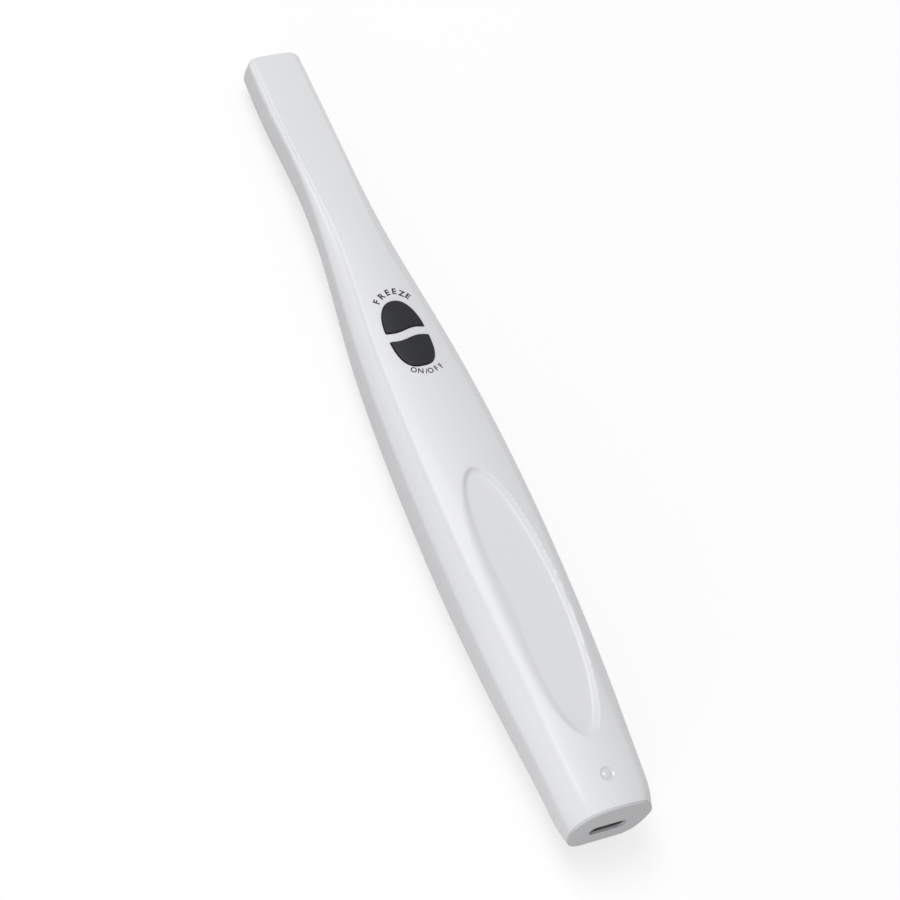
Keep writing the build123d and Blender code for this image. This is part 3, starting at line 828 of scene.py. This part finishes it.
class NodeSheet:
    """A short hand for adding and joining nodes in one node tree."""

    def __init__(self, tree: bpy.types.NodeTree) -> None:
        """Keeps the tree.

        Args:
            tree: the node tree that is written to.
        """
        self.tree = tree

    def add(self, kind: str, **values) -> bpy.types.Node:
        """Adds a node and sets its inputs and properties.

        Args:
            kind: the node's type name.
            **values: a property, or an input with spaces written as underscores.

        Returns:
            The new node.
        """
        node = self.tree.nodes.new(kind)
        for name, value in values.items():
            label = name.replace("_", " ")
            if label in node.inputs:
                node.inputs[label].default_value = value
            else:
                setattr(node, name, value)
        return node

    def join(self, source: bpy.types.NodeSocket, target: bpy.types.NodeSocket) -> None:
        """Links an output to an input."""
        self.tree.links.new(source, target)

    def math(self, operation: str, first, second=None, clamp: bool = False):
        """Adds a Math node.

        Args:
            operation: the node's operation.
            first: a socket or a number.
            second: a socket, a number or nothing.
            clamp: whether the result is held between 0 and 1.

        Returns:
            The node's output socket.
        """
        node = self.tree.nodes.new("ShaderNodeMath")
        node.operation = operation
        node.use_clamp = clamp
        for index, value in enumerate((first, second)):
            if value is None:
                continue
            if isinstance(value, (int, float)):
                node.inputs[index].default_value = value
            else:
                self.join(value, node.inputs[index])
        return node.outputs[0]


@dataclass(frozen=True)
class MouldedSkinGroup:
    """Shared surface effect of every moulded piece: fine grain and broad mottling.

    The group puts out a height for a Bump node, a roughness that changes over the surface and a
    tinted colour.
    """

    name: str = "moulded_skin"

    def build(self) -> bpy.types.NodeTree:
        """Makes the node group once.

        Returns:
            The group's node tree.
        """
        known = bpy.data.node_groups.get(self.name)
        if known:
            return known
        group = bpy.data.node_groups.new(self.name, "ShaderNodeTree")
        face = group.interface
        for label, kind, default in (
            ("Colour", "NodeSocketColor", (0.8, 0.8, 0.8, 1.0)),
            ("Shade", "NodeSocketFloat", 0.96),
            ("Roughness", "NodeSocketFloat", 0.3),
            ("Roughness Spread", "NodeSocketFloat", 0.05),
            ("Grain Size", "NodeSocketFloat", 2500.0),
        ):
            socket = face.new_socket(name=label, in_out="INPUT", socket_type=kind)
            socket.default_value = default
        face.new_socket(name="Colour", in_out="OUTPUT", socket_type="NodeSocketColor")
        face.new_socket(name="Roughness", in_out="OUTPUT", socket_type="NodeSocketFloat")
        face.new_socket(name="Height", in_out="OUTPUT", socket_type="NodeSocketFloat")

        sheet = NodeSheet(group)
        entry = sheet.add("NodeGroupInput")
        leave = sheet.add("NodeGroupOutput")
        place = sheet.add("ShaderNodeTexCoord")
        broad = sheet.add("ShaderNodeTexNoise", Scale=55.0, Detail=3.0, Roughness=0.55)
        grain = sheet.add("ShaderNodeTexNoise", Detail=2.0, Roughness=0.6)
        sheet.join(place.outputs["Object"], broad.inputs["Vector"])
        sheet.join(place.outputs["Object"], grain.inputs["Vector"])
        sheet.join(entry.outputs["Grain Size"], grain.inputs["Scale"])

        shaded = sheet.add("ShaderNodeMix", data_type="RGBA", blend_type="MIX")
        darker = sheet.add("ShaderNodeMix", data_type="RGBA", blend_type="MULTIPLY")
        darker.inputs["Factor"].default_value = 1.0
        sheet.join(entry.outputs["Colour"], darker.inputs[6])
        tone = sheet.add("ShaderNodeCombineColor")
        for channel in ("Red", "Green", "Blue"):
            sheet.join(entry.outputs["Shade"], tone.inputs[channel])
        sheet.join(tone.outputs[0], darker.inputs[7])
        sheet.join(broad.outputs["Fac"], shaded.inputs["Factor"])
        sheet.join(entry.outputs["Colour"], shaded.inputs[6])
        sheet.join(darker.outputs[2], shaded.inputs[7])
        sheet.join(shaded.outputs[2], leave.inputs["Colour"])

        centred = sheet.math("SUBTRACT", broad.outputs["Fac"], 0.5)
        spread = sheet.math("MULTIPLY", centred, entry.outputs["Roughness Spread"])
        rough = sheet.math("ADD", entry.outputs["Roughness"], spread, clamp=True)
        sheet.join(rough, leave.inputs["Roughness"])
        sheet.join(grain.outputs["Fac"], leave.inputs["Height"])
        return group


@dataclass(frozen=True)
class Finish:
    """The finish of one kind of piece, read by every node and piece of that material slot."""

    name: str
    colour: Colour
    roughness: float = 0.4
    roughness_spread: float = 0.06
    shade: float = 0.96
    metallic: float = 0.0
    coat: float = 0.0
    coat_roughness: float = 0.1
    ior: float = 1.46
    transmission: float = 0.0
    subsurface: float = 0.0
    grain_size: float = 2500.0
    grain_height: float = 0.01
    grain_strength: float = 0.15

    def build(self) -> bpy.types.Material:
        """Makes the material.

        Returns:
            A material with the shared skin group in front of a Principled shader.
        """
        material = bpy.data.materials.new(self.name)
        material.use_nodes = True
        sheet = NodeSheet(material.node_tree)
        shader = material.node_tree.nodes["Principled BSDF"]
        skin = sheet.add("ShaderNodeGroup")
        skin.node_tree = MouldedSkinGroup().build()
        skin.inputs["Colour"].default_value = (*self.colour, 1.0)
        skin.inputs["Shade"].default_value = self.shade
        skin.inputs["Roughness"].default_value = self.roughness
        skin.inputs["Roughness Spread"].default_value = self.roughness_spread
        skin.inputs["Grain Size"].default_value = self.grain_size
        sheet.join(skin.outputs["Colour"], shader.inputs["Base Color"])
        sheet.join(skin.outputs["Roughness"], shader.inputs["Roughness"])
        bump = sheet.add("ShaderNodeBump", Strength=self.grain_strength)
        bump.inputs["Distance"].default_value = self.grain_height * MM
        sheet.join(skin.outputs["Height"], bump.inputs["Height"])
        sheet.join(bump.outputs["Normal"], shader.inputs["Normal"])
        shader.inputs["Metallic"].default_value = self.metallic
        shader.inputs["IOR"].default_value = self.ior
        shader.inputs["Coat Weight"].default_value = self.coat
        shader.inputs["Coat Roughness"].default_value = self.coat_roughness
        shader.inputs["Transmission Weight"].default_value = self.transmission
        if self.subsurface:
            shader.inputs["Subsurface Weight"].default_value = self.subsurface
            shader.inputs["Subsurface Radius"].default_value = (0.6, 0.6, 0.65)
            shader.inputs["Subsurface Scale"].default_value = MM
        return material


FINISHES: Tuple[Finish, ...] = (
    Finish("white_shell", (0.745, 0.75, 0.765), roughness=0.45, shade=0.985, coat=0.16, coat_roughness=0.18,
           grain_height=0.012, grain_strength=0.12, grain_size=1800.0),
    Finish("grey_cap", (0.57, 0.575, 0.585), roughness=0.5, shade=0.95,
           grain_height=0.02, grain_strength=0.3),
    Finish("key_grey", (0.026, 0.027, 0.029), roughness=0.42, shade=0.85, ior=1.33,
           grain_height=0.02, grain_strength=0.25),
    Finish("light_pipe", (0.70, 0.71, 0.73), roughness=0.25, coat=0.3),
    Finish("board_green", (0.02, 0.12, 0.05), roughness=0.35, shade=0.8),
    Finish("package_black", (0.02, 0.02, 0.022), roughness=0.5, shade=0.8),
    Finish("can_steel", (0.58, 0.59, 0.60), roughness=0.3, metallic=1.0),
    Finish("ceramic_white", (0.72, 0.70, 0.66), roughness=0.5),
    Finish("cell_foil", (0.62, 0.63, 0.65), roughness=0.38, metallic=1.0),
    Finish("lead_sleeve", (0.35, 0.02, 0.02), roughness=0.45),
    Finish("ribbon_amber", (0.45, 0.18, 0.03), roughness=0.35),
    Finish("optic_black", (0.012, 0.012, 0.014), roughness=0.55, shade=0.8),
    Finish("optic_glass", (0.95, 0.98, 1.0), roughness=0.02, roughness_spread=0.0, shade=1.0,
           transmission=1.0, ior=1.5, grain_strength=0.0),
    Finish("bezel_metal", (0.50, 0.51, 0.52), roughness=0.3, metallic=1.0),
    Finish("lamp_white", (0.85, 0.80, 0.45), roughness=0.35),
)


class FinishBook:
    """Every material of the camera by its slot name."""

    def __init__(self) -> None:
        """Builds all the finishes."""
        self.materials: Dict[str, bpy.types.Material] = {item.name: item.build() for item in FINISHES}

    def dress(self, piece: bpy.types.Object, slot: str) -> None:
        """Gives a piece one finish.

        Args:
            piece: the object.
            slot: the finish's name, which is a material slot of the record.
        """
        piece.data.materials.clear()
        piece.data.materials.append(self.materials[slot])

    def dress_frame(self) -> None:
        """Gives every CAD node the finish of its record slot."""
        for row in frame["record"]["subparts"]:
            piece = frame["nodes"][row["node"]]
            for place in piece.material_slots:
                place.material = self.materials[row["material_slot"]]
            LOG.info("dressed %s in %s", row["node"], row["material_slot"])


@dataclass
class PhotoCamera:
    """The camera of the photograph: above the handset, towards its tail and its left side."""

    pitch_degrees: float = 21.0
    roll_degrees: float = 28.0
    distance: float = 0.8
    focal_pixels: float = 3520.0
    image_pixels: float = 900.0
    sensor_mm: float = 36.0
    axis_from_vertical_degrees: float = 23.68
    looked_at: Tuple[float, float, float] = (0.0008, 0.0, 0.0106)
    looked_at_pixel: Tuple[float, float] = (431.3, 421.1)

    def directions(self) -> Tuple[Vector, Vector, Vector]:
        """Works out the camera's own axes.

        Returns:
            Right, up and backward in the row frame. Backward tips towards the tail by the pitch
            and towards the left by the roll, and up is turned so that the handset's long axis
            makes its angle with the picture's upright.
        """
        pitch, roll = math.radians(self.pitch_degrees), math.radians(self.roll_degrees)
        level = math.cos(pitch)
        back = Vector((-math.sin(pitch), level * math.sin(roll), level * math.cos(roll)))
        along = (Vector((1, 0, 0)) - back * back.x).normalized()
        across = along.cross(back)
        turn = math.radians(self.axis_from_vertical_degrees)
        right = across * math.cos(turn) - along * math.sin(turn)
        up = across * math.sin(turn) + along * math.cos(turn)
        return right, up, back

    def build(self) -> bpy.types.Object:
        """Adds the camera and makes it the scene's own.

        Returns:
            The camera object.
        """
        data = bpy.data.cameras.new("photo_camera")
        data.sensor_width = self.sensor_mm
        data.lens = self.focal_pixels / self.image_pixels * self.sensor_mm
        data.clip_start, data.clip_end = 0.05, 20.0
        camera = bpy.data.objects.new("photo_camera", data)
        bpy.context.scene.collection.objects.link(camera)
        right, up, back = self.directions()
        middle = self.image_pixels / 2
        aside = (self.looked_at_pixel[0] - middle) / self.focal_pixels * self.distance
        above = (middle - self.looked_at_pixel[1]) / self.focal_pixels * self.distance
        place = Vector(self.looked_at) - right * aside - up * above + back * self.distance
        turned = Matrix((right, up, back)).transposed().to_4x4()
        camera.matrix_world = Matrix.Translation(place) @ turned
        bpy.context.scene.camera = camera
        return camera


@dataclass
class Studio:
    """Plain pale floor, a soft key light above, a small fill at the tail and an even surround."""

    floor_size: float = 6.0
    floor_colour: Colour = (0.44, 0.44, 0.44)
    floor_seen_colour: Colour = (1.0, 1.0, 1.0)
    floor_glow: float = 1.0
    floor_glow_share: float = 0.7
    surround_strength: float = 0.49
    key_from: Tuple[float, float, float] = (0.36, 0.22, 0.91)
    key_distance: float = 1.5
    key_size: float = 0.8
    key_power: float = 12.0
    fill_place: Tuple[float, float, float] = (-0.30, 0.25, 0.08)
    fill_size: float = 0.14
    fill_power: float = 0.34

    def floor(self) -> None:
        """Adds the floor, whose seen colour is paler than the one that lights the handset."""
        half = self.floor_size / 2
        mesh = bpy.data.meshes.new("floor")
        corners = [(-half, -half, 0), (half, -half, 0), (half, half, 0), (-half, half, 0)]
        mesh.from_pydata(corners, [], [(0, 1, 2, 3)])
        piece = bpy.data.objects.new("floor", mesh)
        bpy.context.scene.collection.objects.link(piece)
        material = bpy.data.materials.new("floor")
        material.use_nodes = True
        sheet = NodeSheet(material.node_tree)
        nodes = material.node_tree.nodes
        nodes.remove(nodes["Principled BSDF"])
        output = nodes["Material Output"]
        path = sheet.add("ShaderNodeLightPath")
        seen = sheet.math("ADD", path.outputs["Is Camera Ray"], path.outputs["Is Glossy Ray"])
        seen = sheet.math("ADD", seen, path.outputs["Is Transmission Ray"], clamp=True)
        lighting = sheet.add("ShaderNodeBsdfDiffuse", Color=(*self.floor_colour, 1))
        plain = sheet.add("ShaderNodeBsdfDiffuse", Color=(*self.floor_seen_colour, 1))
        glow = sheet.add("ShaderNodeEmission", Color=(1.0, 1.0, 1.0, 1.0), Strength=self.floor_glow)
        shown = sheet.add("ShaderNodeMixShader")
        shown.inputs[0].default_value = self.floor_glow_share
        sheet.join(plain.outputs[0], shown.inputs[1])
        sheet.join(glow.outputs[0], shown.inputs[2])
        choice = sheet.add("ShaderNodeMixShader")
        sheet.join(seen, choice.inputs[0])
        sheet.join(lighting.outputs[0], choice.inputs[1])
        sheet.join(shown.outputs[0], choice.inputs[2])
        sheet.join(choice.outputs[0], output.inputs["Surface"])
        mesh.materials.append(material)

    def surround(self) -> None:
        """Sets the world to an even pale light."""
        world = bpy.data.worlds.new("surround")
        world.use_nodes = True
        background = world.node_tree.nodes["Background"]
        background.inputs["Color"].default_value = (1.0, 1.0, 1.0, 1.0)
        background.inputs["Strength"].default_value = self.surround_strength
        bpy.context.scene.world = world

    def lamp(self, name: str, place: Vector, size: float, power: float) -> None:
        """Adds a square soft light that shines at the handset and isn't seen itself.

        Args:
            name: the light's name.
            place: where it hangs.
            size: its side.
            power: its power in watts.
        """
        data = bpy.data.lights.new(name, "AREA")
        data.shape = "SQUARE"
        data.size = size
        data.energy = power
        lamp = bpy.data.objects.new(name, data)
        bpy.context.scene.collection.objects.link(lamp)
        lamp.location = place
        lamp.rotation_mode = "QUATERNION"
        lamp.rotation_quaternion = place.to_track_quat("Z", "Y")
        lamp.visible_camera = False

    def build(self) -> None:
        """Adds the whole studio and the plain view transform."""
        self.floor()
        self.surround()
        key_place = Vector(self.key_from).normalized() * self.key_distance
        self.lamp("key_light", key_place, self.key_size, self.key_power)
        self.lamp("fill_light", Vector(self.fill_place), self.fill_size, self.fill_power)
        bpy.context.scene.view_settings.view_transform = "Standard"


def main() -> None:
    """Builds the scene in order."""
    logging.basicConfig(level=logging.INFO, format="%(name)s: %(message)s")
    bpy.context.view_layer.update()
    PhotoCamera().build()
    Studio().build()
    book = FinishBook()
    book.dress_frame()
    Camera(book).build()


if __name__ == "__main__":
    main()
